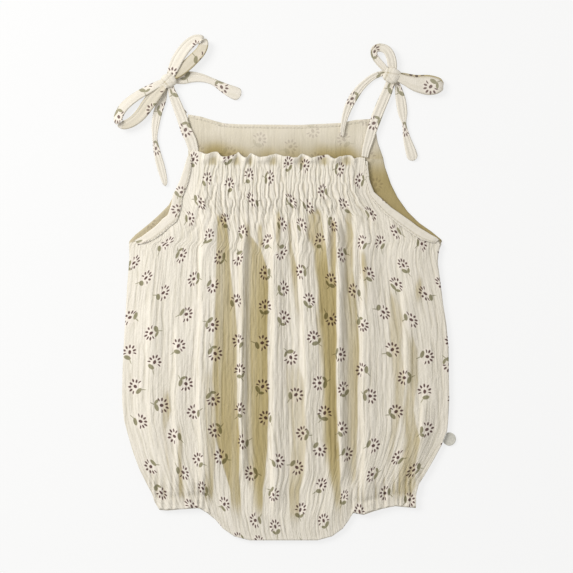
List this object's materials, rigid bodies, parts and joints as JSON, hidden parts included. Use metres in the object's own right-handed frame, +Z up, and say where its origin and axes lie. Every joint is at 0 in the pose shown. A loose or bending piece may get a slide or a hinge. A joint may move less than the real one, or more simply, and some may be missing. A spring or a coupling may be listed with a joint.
{
  "type": "baby bubble romper with tie shoulders",
  "caption": "Sleeveless bubble romper in crinkled cotton gauze, laid flat, with a shirred ruffled neckline, bow-tied shoulder straps and elastic leg ruffles",
  "frame": {"origin": "middle of the flat underside, on the surface the romper lies on", "axes": "+Y runs from the crotch to the shoulder ties, +X to the right as the front is seen, +Z up out of the front"},
  "size_m": [0.3072, 0.4528, 0.0114],
  "materials": {
    "gauze_print": "cream crinkled double gauze with a small scattered flower print",
    "gauze_inside": "inner side of the same gauze, the print showing faintly through",
    "tie_gauze": "narrow folded strips of the printed gauze",
    "tab_felt": "plain pale grey woven tab"
  },
  "bodies": {
    "root": {"front_panel": "gauze_print", "back_panel": "gauze_inside", "binding_left": "gauze_print", "binding_right": "gauze_print", "knot_left": "tie_gauze", "loop_upper_left": "tie_gauze", "loop_lower_left": "tie_gauze", "tail_down_left": "tie_gauze", "tail_side_left": "tie_gauze", "strap_front_left": "tie_gauze", "strap_back_left": "tie_gauze", "knot_right": "tie_gauze", "loop_upper_right": "tie_gauze", "loop_side_right": "tie_gauze", "tail_left_right": "tie_gauze", "tail_down_right": "tie_gauze", "strap_front_right": "tie_gauze", "strap_back_right": "tie_gauze", "side_tab": "tab_felt"}
  },
  "joints": []
}
